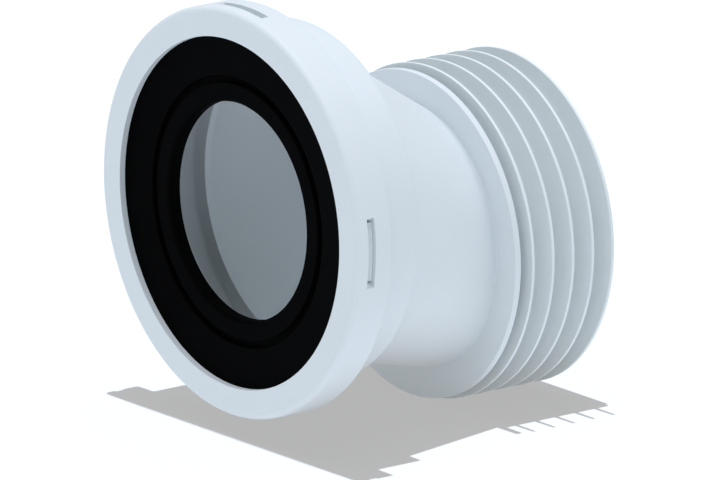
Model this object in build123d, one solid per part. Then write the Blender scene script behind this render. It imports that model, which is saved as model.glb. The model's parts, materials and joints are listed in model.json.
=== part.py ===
from build123d import *
import os

# Toilet pan connector with an offset outlet, in millimetres.
# The inlet axis is Y: the pan's spigot comes in from -Y, and the outlet runs to +Y.
# The outlet axis lies below the inlet axis. The origin is the centre of the lip's gripping wall.
# Places along Y are worked out as distances back from the front face of the inlet.

# Shared sizes
OUTLET_DROP = 20.0
BODY_WALL = 2.5
FIT_CLEARANCE = 0.1

# Retaining ring
RING_RADIUS = 70.2
RING_WIDTH = 14.3
RING_LIP_THICKNESS = 2.4
RING_FACE_WIDTH = 10.2
RING_SKIRT_THICKNESS = 3.6
SKIRT_LEAD_IN = 1.0
RING_FRONT_ROUNDING = 2.2
RING_REAR_ROUNDING = 0.6
MOUTH_ROUNDING = 0.2

# Clip windows in the ring, and the snap tabs of the body that show in them
CLIP_COUNT = 4
WINDOW_WIDTH = 3.1
WINDOW_SETBACK = 2.1
WINDOW_FLARE = 2.05
TAB_LENGTH = 20.0
TAB_END_GAP = 0.2
TAB_TOP_DEPTH = 1.6
TAB_LAND_HEIGHT = 0.6

# Rim and socket of the body
RIM_GAP = 0.2
SEAT_LEDGE_WIDTH = 5.0
SOCKET_DEPTH = 18.6
FLOOR_LEDGE_WIDTH = 6.5
SOCKET_REAR_ROUNDING = 1.2
SOCKET_CORNER_ROUNDING = 1.0

# Slanted neck, collar and spigot
NECK_LENGTH = 45.0
COLLAR_STEP = 1.15
COLLAR_THICKNESS = 2.4
COLLAR_ROUNDING = 0.3
SPIGOT_OVERHANG = 1.0
SPIGOT_END_ROUNDING = 0.8

# Rubber inlet seal
LIP_BORE_RADIUS = 37.3
LIP_WIDTH = 6.6
LIP_THICKNESS = 4.9
LIP_LEAD_IN_ROUNDING = 1.3
GROOVE_WIDTH = 2.5
GROOVE_DEPTH = 2.0
HINGE_THICKNESS = 1.6
FLANGE_THICKNESS = 3.0
FLANGE_DISH = 1.0
SEAL_EDGE_ROUNDING = 0.3

# Finned outlet seal
FIN_COUNT = 5
FIN_RADIUS = 57.4
FIN_HEIGHT = 9.7
FIN_PITCH = 8.5
FIN_START_GAP = 4.4
FIN_TIP_THICKNESS = 1.1
FIN_ROOT_THICKNESS = 1.6
SLEEVE_WALL = 1.8
SLEEVE_TAIL_LENGTH = 5.8
SLEEVE_END_ROUNDING = 0.8

# Radii at the inlet, from the ring inwards
skirt_inner_radius = RING_RADIUS - RING_SKIRT_THICKNESS
mouth_radius = RING_RADIUS - RING_FACE_WIDTH
rim_radius = skirt_inner_radius - FIT_CLEARANCE
seat_radius = rim_radius - BODY_WALL
socket_bore_radius = seat_radius - SEAT_LEDGE_WIDTH
socket_radius = socket_bore_radius + BODY_WALL
floor_hole_radius = socket_bore_radius - FLOOR_LEDGE_WIDTH

# Radii at the outlet, from the fins inwards
collar_radius = FIN_RADIUS - COLLAR_STEP
sleeve_radius = FIN_RADIUS - FIN_HEIGHT
sleeve_bore_radius = sleeve_radius - SLEEVE_WALL
spigot_radius = sleeve_bore_radius - FIT_CLEARANCE
spigot_bore_radius = spigot_radius - BODY_WALL

# Places along Y, from the inlet's front face
flange_front = RING_LIP_THICKNESS
rim_front = flange_front + RIM_GAP
window_front = flange_front + WINDOW_SETBACK
window_rear = window_front + WINDOW_WIDTH
seat_floor = RING_WIDTH - BODY_WALL
socket_floor = seat_floor + SOCKET_DEPTH
socket_rear = socket_floor + BODY_WALL
collar_front = socket_rear + NECK_LENGTH
collar_rear = collar_front + COLLAR_THICKNESS
first_fin = collar_rear + FIN_START_GAP
last_fin = first_fin + (FIN_COUNT - 1) * FIN_PITCH
sleeve_end = last_fin + SLEEVE_TAIL_LENGTH
spigot_end = sleeve_end + SPIGOT_OVERHANG
lip_front = flange_front + FLANGE_DISH
lip_rear = lip_front + LIP_THICKNESS
lip_wall_front = lip_front + LIP_LEAD_IN_ROUNDING
lip_wall_rear = lip_rear - SEAL_EDGE_ROUNDING
origin_back = (lip_wall_front + lip_wall_rear) / 2


def turned(*corners):
    """Solid turned about the inlet axis. Each corner is its radius, its distance back from the
    inlet's front face, and its rounding."""
    points = [(radius, back - origin_back) for radius, back, rounding in corners]
    roundings = [rounding for radius, back, rounding in corners]
    outline = FilletPolyline(*points, radius=roundings, close=True)
    return revolve(make_face(outline), Axis.Y)


def on_outlet(shape):
    """Moves a shape from the inlet axis to the outlet axis."""
    return Pos(0, 0, -OUTLET_DROP) * shape


def disc_at(radius, back, drop):
    """Flat disc square to Y, at a distance back from the inlet's front face and a drop below its axis."""
    place = Plane(origin=(0, back - origin_back, -drop), x_dir=(1, 0, 0), z_dir=(0, 1, 0))
    return place * Circle(radius)


def slanted_cone(front_radius, front_back, rear_radius, rear_back):
    """Straight taper from a disc on the inlet axis to a disc on the outlet axis."""
    front = disc_at(front_radius, front_back, 0)
    rear = disc_at(rear_radius, rear_back, OUTLET_DROP)
    return loft([front, rear], ruled=True)


def round_the_inlet(shape):
    """Copies of a shape spaced evenly round the inlet axis."""
    step = 360 / CLIP_COUNT
    return [Rot(0, index * step, 0) * shape for index in range(CLIP_COUNT)]


def make_window():
    """Slot through the skirt for one tab. Its ends lean outwards, by the flare over the skirt's thickness.
    They clear the tab by the end gap where the tab's ends leave the skirt's inner face."""
    tab_half = TAB_LENGTH / 2
    tab_corner = (skirt_inner_radius**2 - tab_half**2) ** 0.5
    lean = WINDOW_FLARE / RING_SKIRT_THICKNESS
    inner_radius = skirt_inner_radius - RING_SKIRT_THICKNESS
    outer_radius = RING_RADIUS + RING_SKIRT_THICKNESS
    inner_half = tab_half + TAB_END_GAP - lean * (tab_corner - inner_radius)
    outer_half = tab_half + TAB_END_GAP + lean * (outer_radius - tab_corner)
    outline = Polyline(
        (inner_radius, -inner_half),
        (outer_radius, -outer_half),
        (outer_radius, outer_half),
        (inner_radius, inner_half),
        close=True,
    )
    slot = extrude(Plane.XZ * make_face(outline), WINDOW_WIDTH / 2, both=True)
    window_middle = (window_front + window_rear) / 2
    return Pos(0, window_middle - origin_back, 0) * slot


def make_retaining_ring():
    """Ring with a front lip over the seal, a skirt over the body's rim, and a window for each tab."""
    ring = turned(
        (mouth_radius, 0, MOUTH_ROUNDING),
        (RING_RADIUS, 0, RING_FRONT_ROUNDING),
        (RING_RADIUS, RING_WIDTH, RING_REAR_ROUNDING),
        (skirt_inner_radius + SKIRT_LEAD_IN, RING_WIDTH, 0),
        (skirt_inner_radius, RING_WIDTH - SKIRT_LEAD_IN, 0),
        (skirt_inner_radius, flange_front, 0),
        (mouth_radius, flange_front, 0),
    )
    for window in round_the_inlet(make_window()):
        ring -= window
    return ring


def make_snap_tab():
    """Wedge on the body's rim: a ramp that rises to a square catch at the rear of the window."""
    front = window_front + FIT_CLEARANCE
    rear = window_rear - FIT_CLEARANCE
    top_radius = RING_RADIUS - TAB_TOP_DEPTH
    root_radius = rim_radius - BODY_WALL / 2
    wedge = turned(
        (root_radius, front, 0),
        (rim_radius + TAB_LAND_HEIGHT, front, 0),
        (top_radius, rear, 0),
        (root_radius, rear, 0),
    )
    tab_span = Pos(RING_RADIUS, 0, 0) * Box(RING_RADIUS, 2 * RING_WIDTH, TAB_LENGTH)
    return wedge & tab_span


def make_body():
    """Rigid moulding: rim, socket, slanted neck, collar and spigot, hollowed by the waterway."""
    socket = turned(
        (0, rim_front, 0),
        (rim_radius, rim_front, 0),
        (rim_radius, RING_WIDTH, 0),
        (socket_radius, RING_WIDTH, SOCKET_CORNER_ROUNDING),
        (socket_radius, socket_rear, SOCKET_REAR_ROUNDING),
        (0, socket_rear, 0),
    )
    neck = slanted_cone(floor_hole_radius + BODY_WALL, socket_rear, spigot_radius, collar_front)
    outlet = on_outlet(
        turned(
            (0, collar_front, 0),
            (collar_radius, collar_front, COLLAR_ROUNDING),
            (collar_radius, collar_rear, COLLAR_ROUNDING),
            (spigot_radius, collar_rear, 0),
            (spigot_radius, spigot_end, SPIGOT_END_ROUNDING),
            (0, spigot_end, 0),
        )
    )
    socket_space = turned(
        (0, rim_front, 0),
        (seat_radius, rim_front, 0),
        (seat_radius, seat_floor, 0),
        (socket_bore_radius, seat_floor, 0),
        (socket_bore_radius, socket_floor, SOCKET_CORNER_ROUNDING),
        (floor_hole_radius, socket_floor, 0),
        (floor_hole_radius, socket_rear, 0),
        (0, socket_rear, 0),
    )
    neck_space = slanted_cone(floor_hole_radius, socket_rear, spigot_bore_radius, collar_front)
    outlet_space = on_outlet(
        turned(
            (0, collar_front, 0),
            (spigot_bore_radius, collar_front, 0),
            (spigot_bore_radius, spigot_end, 0),
            (0, spigot_end, 0),
        )
    )
    body = socket + neck + outlet
    for tab in round_the_inlet(make_snap_tab()):
        body += tab
    return body - socket_space - neck_space - outlet_space


def make_inlet_seal():
    """Rubber ring: a bead in the body's seat, a dished flange, a hinge groove and the gripping lip."""
    groove_floor = lip_front + GROOVE_DEPTH
    groove_inner_radius = LIP_BORE_RADIUS + LIP_WIDTH
    groove_outer_radius = groove_inner_radius + GROOVE_WIDTH
    hinge_rear = groove_floor + HINGE_THICKNESS
    bead_radius = seat_radius - FIT_CLEARANCE
    return turned(
        (bead_radius, flange_front, 0),
        (bead_radius, seat_floor, 0),
        (socket_bore_radius, seat_floor, 0),
        (socket_bore_radius, flange_front + FLANGE_THICKNESS, 0),
        (groove_outer_radius + GROOVE_WIDTH, lip_front + FLANGE_THICKNESS, 0),
        (groove_outer_radius, hinge_rear, 0),
        (groove_inner_radius, hinge_rear, 0),
        (groove_inner_radius - GROOVE_WIDTH, lip_rear, SEAL_EDGE_ROUNDING),
        (LIP_BORE_RADIUS, lip_rear, SEAL_EDGE_ROUNDING),
        (LIP_BORE_RADIUS, lip_front, LIP_LEAD_IN_ROUNDING),
        (groove_inner_radius, lip_front, SEAL_EDGE_ROUNDING),
        (groove_inner_radius, groove_floor, SEAL_EDGE_ROUNDING),
        (groove_outer_radius, groove_floor, SEAL_EDGE_ROUNDING),
        (groove_outer_radius, lip_front, SEAL_EDGE_ROUNDING),
        (mouth_radius, flange_front, 0),
    )


def make_fin(centre):
    """One fin: a thin flat disc that narrows towards its rim."""
    root = FIN_ROOT_THICKNESS / 2
    tip = FIN_TIP_THICKNESS / 2
    root_radius = sleeve_radius - SLEEVE_WALL / 2
    return turned(
        (root_radius, centre - root, 0),
        (FIN_RADIUS, centre - tip, 0),
        (FIN_RADIUS, centre + tip, 0),
        (root_radius, centre + root, 0),
    )


def make_fin_seal():
    """Soft sleeve on the spigot, butted against the collar, with its fins."""
    sleeve = turned(
        (sleeve_bore_radius, collar_rear, 0),
        (sleeve_radius, collar_rear, 0),
        (sleeve_radius, sleeve_end, SLEEVE_END_ROUNDING),
        (sleeve_bore_radius, sleeve_end, 0),
    )
    for index in range(FIN_COUNT):
        sleeve += make_fin(first_fin + index * FIN_PITCH)
    return on_outlet(sleeve)


pieces = {
    "body": make_body(),
    "seal_retaining_ring": make_retaining_ring(),
    "inlet_seal": make_inlet_seal(),
    "outlet_fin_seal": make_fin_seal(),
}

os.makedirs("parts", exist_ok=True)
for name, piece in pieces.items():
    export_step(piece, f"parts/{name}.step")
    box = piece.bounding_box()
    print(name, round(piece.volume), "mm3", [round(value, 2) for value in (*box.min, *box.max)])
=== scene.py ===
# %% [markdown]
# A toilet pan connector in white plastic, black rubber and soft white fins
#
# The connector joins a toilet pan to the soil pipe. Its construction is already settled in a packed
# CAD model: four pieces, in metres, in one shared frame. This lesson gives those pieces their looks.
# The CAD meshes are made of flat facets, so each piece is worked out again here as a smooth surface
# of the same form, and then gets the finish of the real material.

import json
import math

import bmesh
import bpy
import numpy as np
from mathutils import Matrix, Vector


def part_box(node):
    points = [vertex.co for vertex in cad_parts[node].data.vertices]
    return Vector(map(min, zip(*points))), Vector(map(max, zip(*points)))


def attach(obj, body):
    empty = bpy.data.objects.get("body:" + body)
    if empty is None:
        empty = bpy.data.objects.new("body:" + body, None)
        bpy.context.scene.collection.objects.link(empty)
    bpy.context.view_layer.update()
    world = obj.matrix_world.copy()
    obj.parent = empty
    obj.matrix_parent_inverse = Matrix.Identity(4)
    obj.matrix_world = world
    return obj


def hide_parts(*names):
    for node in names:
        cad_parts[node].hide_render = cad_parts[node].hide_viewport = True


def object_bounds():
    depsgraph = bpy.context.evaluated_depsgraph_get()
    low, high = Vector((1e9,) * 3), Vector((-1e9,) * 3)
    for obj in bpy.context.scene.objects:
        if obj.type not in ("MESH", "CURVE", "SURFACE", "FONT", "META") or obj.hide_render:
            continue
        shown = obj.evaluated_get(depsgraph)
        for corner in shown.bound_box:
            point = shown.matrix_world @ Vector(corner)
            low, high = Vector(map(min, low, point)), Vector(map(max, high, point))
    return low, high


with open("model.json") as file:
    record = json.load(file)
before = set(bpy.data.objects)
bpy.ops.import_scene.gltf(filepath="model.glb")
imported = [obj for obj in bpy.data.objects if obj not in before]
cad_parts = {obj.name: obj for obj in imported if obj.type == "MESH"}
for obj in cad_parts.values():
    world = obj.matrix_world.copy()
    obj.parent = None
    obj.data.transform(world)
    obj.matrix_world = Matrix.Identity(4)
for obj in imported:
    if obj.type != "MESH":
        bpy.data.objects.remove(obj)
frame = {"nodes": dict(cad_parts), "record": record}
cad_low, cad_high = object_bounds()
print("nodes:", sorted(frame["nodes"]))

# %% [markdown]
# Sizes that the frame already knows
#
# The two mounts of the record give the radius of the rubber lip, the radius of the fins, and how far
# the outlet axis lies below the inlet axis. The boxes of the CAD nodes give the outer sizes. What is
# left, such as a wall or a rounding, is named where it is first used, in millimetres.

# %% Sizes from the frame
MM = 0.001
mounts = {mount["name"]: mount for mount in frame["record"]["mounts"]}
lip_radius = mounts["pan_spigot"]["dims"]["r_mm"]
fin_radius = mounts["soil_pipe"]["dims"]["r_mm"]
outlet_drop = -mounts["soil_pipe"]["pos_m"][2] / MM
ring_low, ring_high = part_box("seal_retaining_ring")
body_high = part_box("body")[1]
inlet_face = ring_low.y / MM
ring_radius = ring_high.x / MM
ring_width = (ring_high.y - ring_low.y) / MM
spigot_end = (body_high.y - ring_low.y) / MM
print(f"ring radius {ring_radius:.2f}, lip radius {lip_radius:.2f}, fin radius {fin_radius:.2f} mm")
print(f"outlet {outlet_drop:.1f} mm below the inlet, overall length {spigot_end:.2f} mm")

# %% [markdown]
# The camera
#
# The photograph has no perspective to speak of: circles of equal size come out equal at the front and
# at the back. A very long lens far away gives the same picture, and keeps a normal camera for the
# other views. The camera looks at a point that is given from the centre of the inlet's front face,
# along the picture's own right and up directions.

# %% Camera at the photograph's angle
AZIMUTH = math.radians(51.98)
ELEVATION = math.radians(15.19)
PICTURE_WIDTH = 240.7
AIM_RIGHT = 43.92
AIM_UP = -8.88
LENS = 1060.0
SENSOR = 36.0

picture_right = np.array([math.cos(AZIMUTH), math.sin(AZIMUTH), 0.0])
towards_scene = np.array([
    -math.sin(AZIMUTH) * math.cos(ELEVATION),
    math.cos(AZIMUTH) * math.cos(ELEVATION),
    -math.sin(ELEVATION),
])
picture_up = np.cross(picture_right, towards_scene)
aim = np.array([0.0, inlet_face, 0.0]) + AIM_RIGHT * picture_right + AIM_UP * picture_up
camera_distance = PICTURE_WIDTH * LENS / SENSOR

camera_data = bpy.data.cameras.new("photo_camera")
camera_data.lens = LENS
camera_data.sensor_width = SENSOR
camera = bpy.data.objects.new("photo_camera", camera_data)
camera.location = (aim - camera_distance * towards_scene) * MM
camera.rotation_euler = (math.pi / 2 - ELEVATION, 0.0, AZIMUTH)
bpy.context.scene.collection.objects.link(camera)
bpy.context.scene.camera = camera
print(f"camera {camera_distance * MM:.2f} m away")

# %% [markdown]
# Turned outlines
#
# Every piece is round, so its shape is one closed outline carried round an axis: a function of two
# parameters, the place along the outline and the angle. A moulded edge is never quite sharp, so each
# corner of the outline becomes a small arc. Two extra points guard each arc, so that the smooth
# shading of the arc doesn't creep over the flat faces beside it.

# %% Outline with rounded corners
ARC_STEPS = 5
GUARD = 0.2


def unit(vectors):
    """Each vector divided by its own length."""
    return vectors / np.linalg.norm(vectors, axis=-1, keepdims=True)


def corner_arc(before, corner, after, rounding):
    """Points that round one corner. The arc touches both runs at rounding / tan(half the angle between
    them), and its centre lies on their bisector, at rounding / sin(half the angle). The radius turns
    evenly from one touching point to the other, with a guard point beyond each."""
    to_before = unit(before - corner)
    to_after = unit(after - corner)
    half = np.arccos(np.clip(to_before @ to_after, -1.0, 1.0)) / 2
    reach = rounding / np.tan(half)
    centre = corner + unit(to_before + to_after) * rounding / np.sin(half)
    start = corner + reach * to_before - centre
    stop = corner + reach * to_after - centre
    sweep = math.pi - 2 * half
    share = np.linspace(0.0, 1.0, ARC_STEPS + 1)[:, None]
    arc = (np.sin((1 - share) * sweep) * start + np.sin(share * sweep) * stop) / np.sin(sweep)
    first = corner + (reach + GUARD) * to_before
    last = corner + (reach + GUARD) * to_after
    return np.vstack([first, centre + arc, last])


def rounded_outline(corners):
    """Closed outline from corners of radius, distance back from the inlet's face, and rounding. A
    corner with no rounding stays as one point, which marks a line on a straight run."""
    corners = np.array(corners, float)
    points = corners[:, :2]
    parts = []
    for index, rounding in enumerate(corners[:, 2]):
        before, corner, after = points[index - 1], points[index], points[(index + 1) % len(points)]
        if rounding > 0:
            parts.append(corner_arc(before, corner, after, rounding))
        else:
            parts.append(corner[None])
    return np.vstack(parts)


# %% [markdown]
# From an outline to a grid
#
# Blender's Screw modifier could turn an outline, but about one axis only, and the outlet lies lower
# than the inlet. On a grid of numbers a whole row can be dropped, and that is all that the slanted
# neck needs. The outline's points are the rows of the grid and the angles are its columns. Both run
# round in a closed loop, so the grid is a tube bent into a ring, with no seam and no pole.

# %% Points and quads of a grid
COLUMNS = 256


def even_angles():
    """Angles of the columns, evenly spaced over one turn."""
    return np.linspace(0.0, 2 * math.pi, COLUMNS, endpoint=False)


def grid_points(radius, back, drop, angles):
    """Point at radius r and angle a on a row: x = r cos a, y = the row's place, and z = r sin a less
    the row's drop."""
    x = radius * np.cos(angles)
    y = np.broadcast_to(inlet_face + back[:, None], x.shape)
    z = radius * np.sin(angles) - drop[:, None]
    return np.stack([x, y, z], axis=-1).reshape(-1, 3) * MM


def grid_quads(rows, columns):
    """Corner numbers of the quads between neighbouring rows and columns, both closed into loops."""
    row = np.arange(rows)[:, None]
    column = np.arange(columns)[None, :]
    next_row = (row + 1) % rows
    next_column = (column + 1) % columns
    corners = [
        row * columns + column,
        row * columns + next_column,
        next_row * columns + next_column,
        next_row * columns + column,
    ]
    return np.stack(corners, axis=-1)


# %% [markdown]
# From a grid to a piece
#
# A grid becomes one mesh object. Its faces are turned outwards, all of them shade smoothly, and an edge
# that bends by more than a set angle stays sharp. The piece stands for a CAD node, which is then
# hidden, and it rides with the whole part, because nothing moves on this one.

# %% Mesh object that stands for a CAD node
SHARP_ANGLE = math.radians(40.0)


def make_piece(name, points, quads, node):
    """Smooth-shaded mesh object that stands for a CAD node and rides with the whole part."""
    mesh = bpy.data.meshes.new(name)
    mesh.from_pydata(points, [], quads.reshape(-1, 4))
    outward = bmesh.new()
    outward.from_mesh(mesh)
    bmesh.ops.recalc_face_normals(outward, faces=outward.faces)
    outward.to_mesh(mesh)
    outward.free()
    mesh.polygons.foreach_set("use_smooth", np.ones(len(mesh.polygons), bool))
    mesh.set_sharp_from_angle(angle=SHARP_ANGLE)
    piece = bpy.data.objects.new(name, mesh)
    bpy.context.scene.collection.objects.link(piece)
    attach(piece, "root")
    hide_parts(node)
    print(f"{name}: {len(mesh.vertices)} points, {len(mesh.polygons)} faces")
    return piece


# %% [markdown]
# The retaining ring
#
# The ring is pushed over the body's rim from the front. Its lip holds the rubber in, and its skirt has
# four windows that clip over tabs on the rim. The outline is the ring's section. It has extra points at
# the front and the rear of the windows, on both sides of the skirt, so that the grid has lines there.

# %% Ring outline
RING_LIP = 2.4
FACE_WIDTH = 10.2
SKIRT = 3.6
LEAD_IN = 1.0
FRONT_ROUNDING = 2.2
REAR_ROUNDING = 0.6
MOUTH_ROUNDING = 0.2
FINE_EDGE = 0.2
WINDOW_SETBACK = 2.1
WINDOW_WIDTH = 3.1

mouth_radius = ring_radius - FACE_WIDTH
skirt_inner = ring_radius - SKIRT
window_front = RING_LIP + WINDOW_SETBACK
window_rear = window_front + WINDOW_WIDTH

ring_outline = rounded_outline([
    (mouth_radius, 0.0, MOUTH_ROUNDING),
    (ring_radius, 0.0, FRONT_ROUNDING),
    (ring_radius, window_front, 0.0),
    (ring_radius, window_rear, 0.0),
    (ring_radius, ring_width, REAR_ROUNDING),
    (skirt_inner + LEAD_IN, ring_width, FINE_EDGE),
    (skirt_inner, ring_width - LEAD_IN, FINE_EDGE),
    (skirt_inner, window_rear, 0.0),
    (skirt_inner, window_front, 0.0),
    (skirt_inner, RING_LIP, FINE_EDGE),
    (mouth_radius, RING_LIP, FINE_EDGE),
])
ring_radii = ring_outline[:, :1]
print(f"ring outline: {len(ring_outline)} points")

# %% [markdown]
# Columns that follow the windows' ends
#
# The ends of a window lean outwards, so that the mould can open. Drawn on inwards, they would meet at
# one line between the window and the axis. Near a window the grid's columns fan out from that line, so
# that two of them lie on the window's ends. Further away they turn back into plain spokes.

# %% Angles round the clips
CLIP_COUNT = 4
ANGLE_DIGITS = 9


def angles_with(*edges):
    """Even angles, with columns added at plus and minus each edge angle from the middle of each clip.
    Rounding merges columns that coincide."""
    middles = np.arange(CLIP_COUNT) * 2 * math.pi / CLIP_COUNT
    added = [middles + sign * edge for edge in edges for sign in (1, -1)]
    every = np.concatenate([even_angles(), *added]) % (2 * math.pi)
    return np.unique(np.round(every, ANGLE_DIGITS))


def from_clip(angles):
    """Each angle measured from the middle of its nearest clip: what is left after whole clip spacings,
    from minus half a spacing to plus half."""
    turn = 2 * math.pi / CLIP_COUNT
    return (angles + turn / 2) % turn - turn / 2


# %% Columns and points of the ring
WINDOW_FLARE = 2.05
TAB_LENGTH = 20.0
TAB_END_GAP = 0.2
WINDOW_REACH = math.radians(22.0)

window_lean = WINDOW_FLARE / SKIRT
tab_half = TAB_LENGTH / 2
tab_corner = math.sqrt(skirt_inner**2 - tab_half**2)
fan_point = tab_corner - (tab_half + TAB_END_GAP) / window_lean


def angle_at(radius, fan):
    """Angle about the ring's axis where a line from the fan point p, leaning by the fan angle f, meets
    the radius r. In the triangle of axis, fan point and meeting point it is f - arcsin(p sin f / r)."""
    return fan - np.arcsin(fan_point * np.sin(fan) / radius)


def fanned(radius, angles):
    """Turns the columns so that near a clip they lie in planes that fan out from one line, as the
    leaning ends of a window do. A column keeps its angle a at the outer radius R, so its fan angle is
    the arctangent of R sin a / (R cos a - p). The turn fades out away from the clip."""
    near = from_clip(angles)[None, :]
    fade = np.clip(1 - (np.abs(near) - window_edge) / (WINDOW_REACH - window_edge), 0.0, 1.0)
    fan = np.arctan2(ring_radius * np.sin(near), ring_radius * np.cos(near) - fan_point)
    return angles + fade * (angle_at(radius, fan) - near)


window_edge = angle_at(ring_radius, math.atan(window_lean))
ring_angles = angles_with(window_edge)
ring_points = grid_points(
    np.broadcast_to(ring_radii, (len(ring_outline), len(ring_angles))),
    ring_outline[:, 1],
    np.zeros(len(ring_outline)),
    fanned(ring_radii, ring_angles),
)
print(f"ring: window edges {math.degrees(window_edge):.2f} degrees each side of the clip's middle")

# %% [markdown]
# The clip windows
#
# A Boolean could cut the windows, but it leaves long thin triangles that shade badly. Here the grid
# already has lines on the windows' edges, so the faces inside them are left out of the outer and the
# inner skirt, and four walls join the two.

# %% Rows and columns of the windows


def row_at(radius, back):
    """Number of the outline's row that lies nearest to a radius and a distance back."""
    return int(np.argmin(np.abs(ring_outline - (radius, back)).sum(axis=1)))


outer_front = row_at(ring_radius, window_front)
outer_rear = row_at(ring_radius, window_rear)
inner_front = row_at(skirt_inner, window_front)
inner_rear = row_at(skirt_inner, window_rear)

columns = np.arange(len(ring_angles))
next_columns = (columns + 1) % len(ring_angles)
middle_of_column = ring_angles + ((ring_angles[next_columns] - ring_angles) % (2 * math.pi)) / 2
in_window = np.abs(from_clip(middle_of_column)) < window_edge
print(f"windows: {in_window.sum()} of {len(ring_angles)} columns")

# %% Cut the windows and make the ring


def wall_across(outer_row, inner_row):
    """Quads of a window's long wall, from the outer skirt to the inner one."""
    first, second = columns[in_window], next_columns[in_window]
    width = len(ring_angles)
    corners = [outer_row * width + first, outer_row * width + second]
    corners += [inner_row * width + second, inner_row * width + first]
    return np.stack(corners, axis=-1)


def walls_at_ends():
    """Quads of the windows' short end walls, on the columns where a window starts or stops."""
    edges = columns[in_window != np.roll(in_window, 1)]
    rows = np.array([outer_front, outer_rear, inner_rear, inner_front])
    return rows[None, :] * len(ring_angles) + edges[:, None]


ring_quads = grid_quads(len(ring_outline), len(ring_angles))
kept = np.ones(ring_quads.shape[:2], bool)
kept[outer_front, in_window] = False
kept[inner_rear, in_window] = False
ring_faces = np.vstack([
    ring_quads[kept],
    wall_across(outer_front, inner_front),
    wall_across(outer_rear, inner_rear),
    walls_at_ends(),
])
ring = make_piece("retaining_ring", ring_points, ring_faces, "seal_retaining_ring")

# %% [markdown]
# The body
#
# The body is one white moulding: a rim with a seat for the rubber, a socket, a slanted neck, a collar
# and a spigot. It lies between the ring and the sleeve, so its radii are worked out from theirs: from
# the skirt inwards at the inlet, and from the fins inwards at the outlet.

# %% Body sizes
WALL = 2.5
CLEARANCE = 0.1
RIM_GAP = 0.2
SEAT_LEDGE = 5.0
SOCKET_DEPTH = 18.6
FLOOR_LEDGE = 6.5
NECK_LENGTH = 45.0
COLLAR_STEP = 1.15
COLLAR_THICKNESS = 2.4
FIN_HEIGHT = 9.7
SLEEVE_WALL = 1.8

rim_radius = skirt_inner - CLEARANCE
seat_radius = rim_radius - WALL
socket_bore = seat_radius - SEAT_LEDGE
socket_radius = socket_bore + WALL
floor_hole = socket_bore - FLOOR_LEDGE
collar_radius = fin_radius - COLLAR_STEP
sleeve_radius = fin_radius - FIN_HEIGHT
sleeve_bore = sleeve_radius - SLEEVE_WALL
spigot_radius = sleeve_bore - CLEARANCE
spigot_bore = spigot_radius - WALL
rim_front = RING_LIP + RIM_GAP
seat_floor = ring_width - WALL
socket_floor = seat_floor + SOCKET_DEPTH
socket_rear = socket_floor + WALL
collar_front = socket_rear + NECK_LENGTH
collar_rear = collar_front + COLLAR_THICKNESS
print(f"waterway {2 * floor_hole:.1f} mm wide before the neck, {2 * spigot_bore:.1f} mm after it")

# %% [markdown]
# The body's outline
#
# A Solidify modifier could give a single skin its wall, but here the inside has steps of its own. So
# one closed outline runs back along the outside and forward again along the waterway. The neck is a
# straight taper between two circles on different axes, so each row is dropped in proportion to its
# place between the neck's ends. Four points on the rim mark the front and rear faces of the snap tabs.

# %% Body outline
SOCKET_CORNER = 1.0
SOCKET_REAR_ROUNDING = 1.2
COLLAR_EDGE = 0.3
SPIGOT_ROUNDING = 0.8
TAB_DRAFT = 0.05

tab_front = window_front + CLEARANCE
tab_rear = window_rear - CLEARANCE

body_outline = rounded_outline([
    (seat_radius, rim_front, FINE_EDGE),
    (rim_radius, rim_front, FINE_EDGE),
    (rim_radius, tab_front - TAB_DRAFT, 0.0),
    (rim_radius, tab_front, 0.0),
    (rim_radius, tab_rear, 0.0),
    (rim_radius, tab_rear + TAB_DRAFT, 0.0),
    (rim_radius, ring_width, FINE_EDGE),
    (socket_radius, ring_width, SOCKET_CORNER),
    (socket_radius, socket_rear, SOCKET_REAR_ROUNDING),
    (floor_hole + WALL, socket_rear, FINE_EDGE),
    (spigot_radius, collar_front, FINE_EDGE),
    (collar_radius, collar_front, COLLAR_EDGE),
    (collar_radius, collar_rear, COLLAR_EDGE),
    (spigot_radius, collar_rear, FINE_EDGE),
    (spigot_radius, spigot_end, SPIGOT_ROUNDING),
    (spigot_bore, spigot_end, FINE_EDGE),
    (spigot_bore, collar_front, FINE_EDGE),
    (floor_hole, socket_rear, FINE_EDGE),
    (floor_hole, socket_floor, FINE_EDGE),
    (socket_bore, socket_floor, SOCKET_CORNER),
    (socket_bore, seat_floor, FINE_EDGE),
    (seat_radius, seat_floor, FINE_EDGE),
])


def axis_drop(back):
    """Drop of the axis at a distance back: none at the neck's front, the whole drop at its rear, and in
    proportion between them."""
    return outlet_drop * np.clip((back - socket_rear) / NECK_LENGTH, 0.0, 1.0)


body_radii = body_outline[:, :1]
body_back = body_outline[:, 1]
print(f"body outline: {len(body_outline)} points")

# %% [markdown]
# The snap tabs
#
# The tabs are part of the same moulding: wedges that rise towards the rear, where a square face catches
# the edge of the window. On the grid they are places on the rim where the radius is larger. The rise is
# a product of two functions: a wedge along the rim's width, and on or off along its angle.

# %% Body mesh with its tabs
TAB_LAND = 0.6
TAB_TOP_DEPTH = 1.6

tab_top_radius = ring_radius - TAB_TOP_DEPTH
tab_foot = math.asin(tab_half / rim_radius)
tab_top = math.asin(tab_half / tab_top_radius)
body_angles = angles_with(tab_foot, tab_top)


def tab_rise(radius, back):
    """Height of the wedge on each row: the land at the tab's front, the full height at its rear, and
    none on any other row."""
    on_rim = np.isclose(radius, rim_radius)
    front = on_rim & np.isclose(back, tab_front)
    rear = on_rim & np.isclose(back, tab_rear)
    return TAB_LAND * front + (tab_top_radius - rim_radius) * rear


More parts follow.
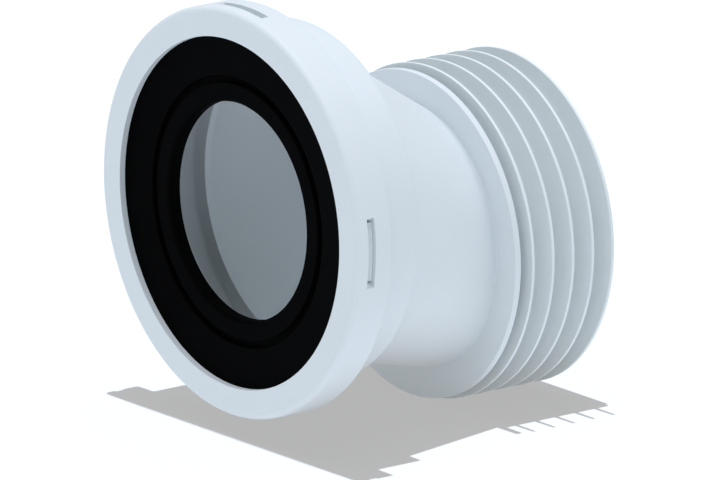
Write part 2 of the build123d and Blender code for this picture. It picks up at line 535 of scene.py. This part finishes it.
rise = tab_rise(body_outline[:, 0], body_back)
on_tab = np.abs(from_clip(body_angles)) < (tab_foot + tab_top) / 2
radius_on_grid = body_radii + rise[:, None] * on_tab[None, :]
body_points = grid_points(radius_on_grid, body_back, axis_drop(body_back), body_angles)
body_quads = grid_quads(*radius_on_grid.shape)
body = make_piece("connector_body", body_points, body_quads, "body")

# %% [markdown]
# The rubber inlet seal
#
# The seal is a rubber ring with a bead that sits in the body's seat. Its face is slightly dished, so it
# leads the spigot of the pan in. A groove near the opening works as a hinge, so the thick lip with its
# rounded front edge can fold back and grip the spigot. A Bevel modifier rounds all edges alike, unless
# each is given a weight. Here each corner of the outline has its own rounding: large on the lip, and
# small at the groove.

# %% Inlet seal outline
LIP_WIDTH = 6.6
LIP_THICKNESS = 4.9
LIP_LEAD_IN = 1.3
GROOVE_WIDTH = 2.5
GROOVE_DEPTH = 2.0
HINGE = 1.6
FLANGE = 3.0
FLANGE_DISH = 1.0
RUBBER_EDGE = 0.3

lip_front = RING_LIP + FLANGE_DISH
lip_rear = lip_front + LIP_THICKNESS
groove_floor = lip_front + GROOVE_DEPTH
hinge_rear = groove_floor + HINGE
groove_inner = lip_radius + LIP_WIDTH
groove_outer = groove_inner + GROOVE_WIDTH
bead_radius = seat_radius - CLEARANCE

seal_outline = rounded_outline([
    (bead_radius, RING_LIP, FINE_EDGE),
    (bead_radius, seat_floor, FINE_EDGE),
    (socket_bore, seat_floor, FINE_EDGE),
    (socket_bore, RING_LIP + FLANGE, FINE_EDGE),
    (groove_outer + GROOVE_WIDTH, lip_front + FLANGE, FINE_EDGE),
    (groove_outer, hinge_rear, FINE_EDGE),
    (groove_inner, hinge_rear, FINE_EDGE),
    (groove_inner - GROOVE_WIDTH, lip_rear, RUBBER_EDGE),
    (lip_radius, lip_rear, RUBBER_EDGE),
    (lip_radius, lip_front, LIP_LEAD_IN),
    (groove_inner, lip_front, RUBBER_EDGE),
    (groove_inner, groove_floor, RUBBER_EDGE),
    (groove_outer, groove_floor, RUBBER_EDGE),
    (groove_outer, lip_front, RUBBER_EDGE),
    (mouth_radius, RING_LIP, FINE_EDGE),
])
print(f"seal outline: {len(seal_outline)} points")

# %% Inlet seal, turned about the inlet axis


def turned_piece(name, outline, drop, node):
    """Piece made by carrying an outline round an axis that lies below the inlet axis by the drop."""
    radius = np.broadcast_to(outline[:, :1], (len(outline), COLUMNS))
    points = grid_points(radius, outline[:, 1], np.full(len(outline), drop), even_angles())
    return make_piece(name, points, grid_quads(*radius.shape), node)


seal = turned_piece("rubber_inlet_seal", seal_outline, 0.0, "inlet_seal")

# %% [markdown]
# The finned sleeve
#
# A soft sleeve is stretched over the spigot, against the collar. Its five thin fins bend over when the
# spigot is pushed into the soil pipe. An Array modifier could repeat one fin, but as a loose disc on
# the sleeve. One outline carries all of them, out and back once for each fin, so that every root runs
# into the sleeve with a small fillet.

# %% Outlet fin seal
FIN_COUNT = 5
FIN_PITCH = 8.5
FIN_START = 4.4
FIN_TIP = 1.1
FIN_ROOT = 1.56
FIN_EDGE = 0.15
FIN_ROOT_ROUNDING = 0.4
SLEEVE_TAIL = 5.8
SLEEVE_ROUNDING = 0.8

first_fin = collar_rear + FIN_START
sleeve_end = first_fin + (FIN_COUNT - 1) * FIN_PITCH + SLEEVE_TAIL


def fin_corners(middle):
    """Corners of one fin, from its root up over its tip and down again."""
    return [
        (sleeve_radius, middle - FIN_ROOT / 2, FIN_ROOT_ROUNDING),
        (fin_radius, middle - FIN_TIP / 2, FIN_EDGE),
        (fin_radius, middle + FIN_TIP / 2, FIN_EDGE),
        (sleeve_radius, middle + FIN_ROOT / 2, FIN_ROOT_ROUNDING),
    ]


sleeve_corners = [(sleeve_bore, collar_rear, FINE_EDGE), (sleeve_radius, collar_rear, FINE_EDGE)]
for index in range(FIN_COUNT):
    sleeve_corners += fin_corners(first_fin + index * FIN_PITCH)
sleeve_corners += [(sleeve_radius, sleeve_end, SLEEVE_ROUNDING), (sleeve_bore, sleeve_end, FINE_EDGE)]
fin_seal = turned_piece(
    "finned_outlet_sleeve",
    rounded_outline(sleeve_corners),
    outlet_drop,
    "outlet_fin_seal",
)

# %% [markdown]
# Finishes
#
# Moulded plastic and rubber aren't one flat colour. The melt leaves faint clouds of shade, and the
# mould's own surface leaves a fine grain that scatters the light. Both come from noise on Object
# coordinates, so they stay put on the piece and need no picture. Noise seldom reaches its ends, so only
# the middle of its range is stretched over the colours and over the roughness.

# %% Noise, and what it is turned into
NOISE_LOW = 0.3
NOISE_HIGH = 0.7


def add_noise(nodes, links, scale, detail):
    """Noise on Object coordinates, with the given number of features in a metre."""
    place = nodes.new("ShaderNodeTexCoord")
    noise = nodes.new("ShaderNodeTexNoise")
    noise.inputs["Scale"].default_value = scale
    noise.inputs["Detail"].default_value = detail
    links.new(place.outputs["Object"], noise.inputs["Vector"])
    return noise.outputs["Fac"]


def add_ramp(nodes, links, factor, low, high):
    """Colour that goes from low to high over the middle of the noise's range."""
    ramp = nodes.new("ShaderNodeValToRGB")
    ramp.color_ramp.elements[0].position = NOISE_LOW
    ramp.color_ramp.elements[1].position = NOISE_HIGH
    ramp.color_ramp.elements[0].color = (*low, 1.0)
    ramp.color_ramp.elements[1].color = (*high, 1.0)
    links.new(factor, ramp.inputs["Fac"])
    return ramp.outputs["Color"]


def add_range(nodes, links, factor, low, high):
    """Number that goes from low to high over the middle of the noise's range."""
    remap = nodes.new("ShaderNodeMapRange")
    remap.inputs["From Min"].default_value = NOISE_LOW
    remap.inputs["From Max"].default_value = NOISE_HIGH
    remap.inputs["To Min"].default_value = low
    remap.inputs["To Max"].default_value = high
    links.new(factor, remap.inputs["Value"])
    return remap.outputs["Result"]


# %% [markdown]
# One recipe for moulded surfaces
#
# All three materials are moulded, so they share one recipe. The clouds tint the base colour. The grain
# moves the roughness and lifts the surface by a hundredth of a millimetre, as bump.

# %% Moulded finish
CLOUD_DETAIL = 3.0
GRAIN_DETAIL = 2.0
GRAIN_DEPTH = 0.01


def moulded_finish(name, shade, tint, clouds, grain, roughness, specular):
    """Principled material with clouds of noise between two shades, and a fine grain that moves the
    roughness and the bump."""
    material = bpy.data.materials.new(name)
    material.use_nodes = True
    nodes = material.node_tree.nodes
    links = material.node_tree.links
    shader = nodes["Principled BSDF"]
    cloud = add_noise(nodes, links, clouds, CLOUD_DETAIL)
    fine = add_noise(nodes, links, grain, GRAIN_DETAIL)
    links.new(add_ramp(nodes, links, cloud, shade, tint), shader.inputs["Base Color"])
    links.new(add_range(nodes, links, fine, *roughness), shader.inputs["Roughness"])
    bump = nodes.new("ShaderNodeBump")
    bump.inputs["Distance"].default_value = GRAIN_DEPTH * MM
    links.new(fine, bump.inputs["Height"])
    links.new(bump.outputs["Normal"], shader.inputs["Normal"])
    shader.inputs["Specular IOR Level"].default_value = specular
    return material


# %% [markdown]
# The three materials
#
# The rigid plastic is a cool white with a satin skin. The soft sleeve is a duller, more neutral white.
# The rubber is close to black and reflects very little.

# %% White plastic, soft white rubber and black rubber
plastic = moulded_finish(
    "white_polypropylene",
    shade=(0.771, 0.807, 0.828),
    tint=(0.787, 0.823, 0.844),
    clouds=45.0,
    grain=1800.0,
    roughness=(0.42, 0.50),
    specular=0.2,
)
soft_white = moulded_finish(
    "white_soft_rubber",
    shade=(0.807, 0.839, 0.845),
    tint=(0.823, 0.855, 0.861),
    clouds=60.0,
    grain=2400.0,
    roughness=(0.58, 0.68),
    specular=0.2,
)
rubber = moulded_finish(
    "black_rubber",
    shade=(0.0012, 0.0012, 0.0013),
    tint=(0.0018, 0.0018, 0.0019),
    clouds=70.0,
    grain=2000.0,
    roughness=(0.60, 0.72),
    specular=0.012,
)
for piece, finish in ((ring, plastic), (body, plastic), (fin_seal, soft_white), (seal, rubber)):
    piece.data.materials.append(finish)
    print(f"{piece.name} wears {finish.name}")

# %% [markdown]
# The floor
#
# The photograph has a pure white floor, and the shadow on it is one even grey with a clear edge: it has
# no darker patch under the part and none of its colour. So the floor glows by itself at the grey of the
# shadow, and its dark paint takes little light from the scene. A light of its own lifts the rest of it
# to white.

# %% Floor
FLOOR_SIZE = 12000.0
FLOOR_PAINT = 0.05
FLOOR_ROUGHNESS = 0.9
SHADOW_GLOW = 0.44

corner_signs = np.array([(-1, -1), (1, -1), (1, 1), (-1, 1)], float)
floor_height = np.full(len(corner_signs), cad_low.z)
floor_points = np.column_stack([FLOOR_SIZE * MM / 2 * corner_signs, floor_height])
floor_mesh = bpy.data.meshes.new("floor")
floor_mesh.from_pydata(floor_points, [], [range(len(corner_signs))])
floor = bpy.data.objects.new("floor", floor_mesh)
bpy.context.scene.collection.objects.link(floor)

floor_paint = bpy.data.materials.new("floor_paint")
floor_paint.use_nodes = True
floor_shader = floor_paint.node_tree.nodes["Principled BSDF"]
floor_shader.inputs["Base Color"].default_value = (FLOOR_PAINT, FLOOR_PAINT, FLOOR_PAINT, 1.0)
floor_shader.inputs["Roughness"].default_value = FLOOR_ROUGHNESS
floor_shader.inputs["Specular IOR Level"].default_value = 0.0
floor_shader.inputs["Emission Color"].default_value = (1.0, 1.0, 1.0, 1.0)
floor_shader.inputs["Emission Strength"].default_value = SHADOW_GLOW
floor_mesh.materials.append(floor_paint)
print(f"floor {FLOOR_SIZE * MM:.0f} m wide, {-cad_low.z / MM:.1f} mm below the inlet axis")

# %% [markdown]
# The light
#
# The photograph is a bright studio picture with an even surround and soft light from overhead. A pale,
# slightly cool world lights every side alike, and a broad sun straight above adds the brighter tops. A
# second, small sun is linked to the floor alone, so it draws the clear edge of the shadow and shines on
# nothing else. The Standard view keeps white as white.

# %% World
SURROUND_TINT = (0.9, 1.0, 1.027)
SURROUND = 0.456

world = bpy.data.worlds.new("white_surround")
world.use_nodes = True
background = world.node_tree.nodes["Background"]
background.inputs["Color"].default_value = (*SURROUND_TINT, 1.0)
background.inputs["Strength"].default_value = SURROUND
bpy.context.scene.world = world
print(f"surround {SURROUND}")

# %% Overhead suns
SUN_TINT = (0.972, 1.0, 1.114)
SUN_STRENGTH = 2.036
SUN_SIZE = math.radians(50.0)
FLOOR_TINT = (0.863, 1.0, 1.171)
FLOOR_SUN_STRENGTH = 37.3
FLOOR_SUN_SIZE = math.radians(0.9)
FLOOR_SUN_TURN = (math.radians(-0.3), math.radians(-1.2), 0.0)


def add_sun(name, tint, strength, size):
    """Sun straight overhead, with the given colour, strength and angular size."""
    light = bpy.data.lights.new(name, "SUN")
    light.color = tint
    light.energy = strength
    light.angle = size
    sun = bpy.data.objects.new(name, light)
    bpy.context.scene.collection.objects.link(sun)
    return sun


add_sun("overhead_sun", SUN_TINT, SUN_STRENGTH, SUN_SIZE)
floor_sun = add_sun("floor_sun", FLOOR_TINT, FLOOR_SUN_STRENGTH, FLOOR_SUN_SIZE)
floor_sun.rotation_euler = FLOOR_SUN_TURN
floor_only = bpy.data.collections.new("floor_only")
floor_only.objects.link(floor)
floor_sun.light_linking.receiver_collection = floor_only
bpy.context.scene.view_settings.view_transform = "Standard"
print(f"overhead sun {SUN_STRENGTH}, sun on the floor alone {FLOOR_SUN_STRENGTH}")

# %% [markdown]
# The size stays
#
# Looks never change the size of a part. The last step brings the scene up to date.

# %% Finish
bpy.context.view_layer.update()
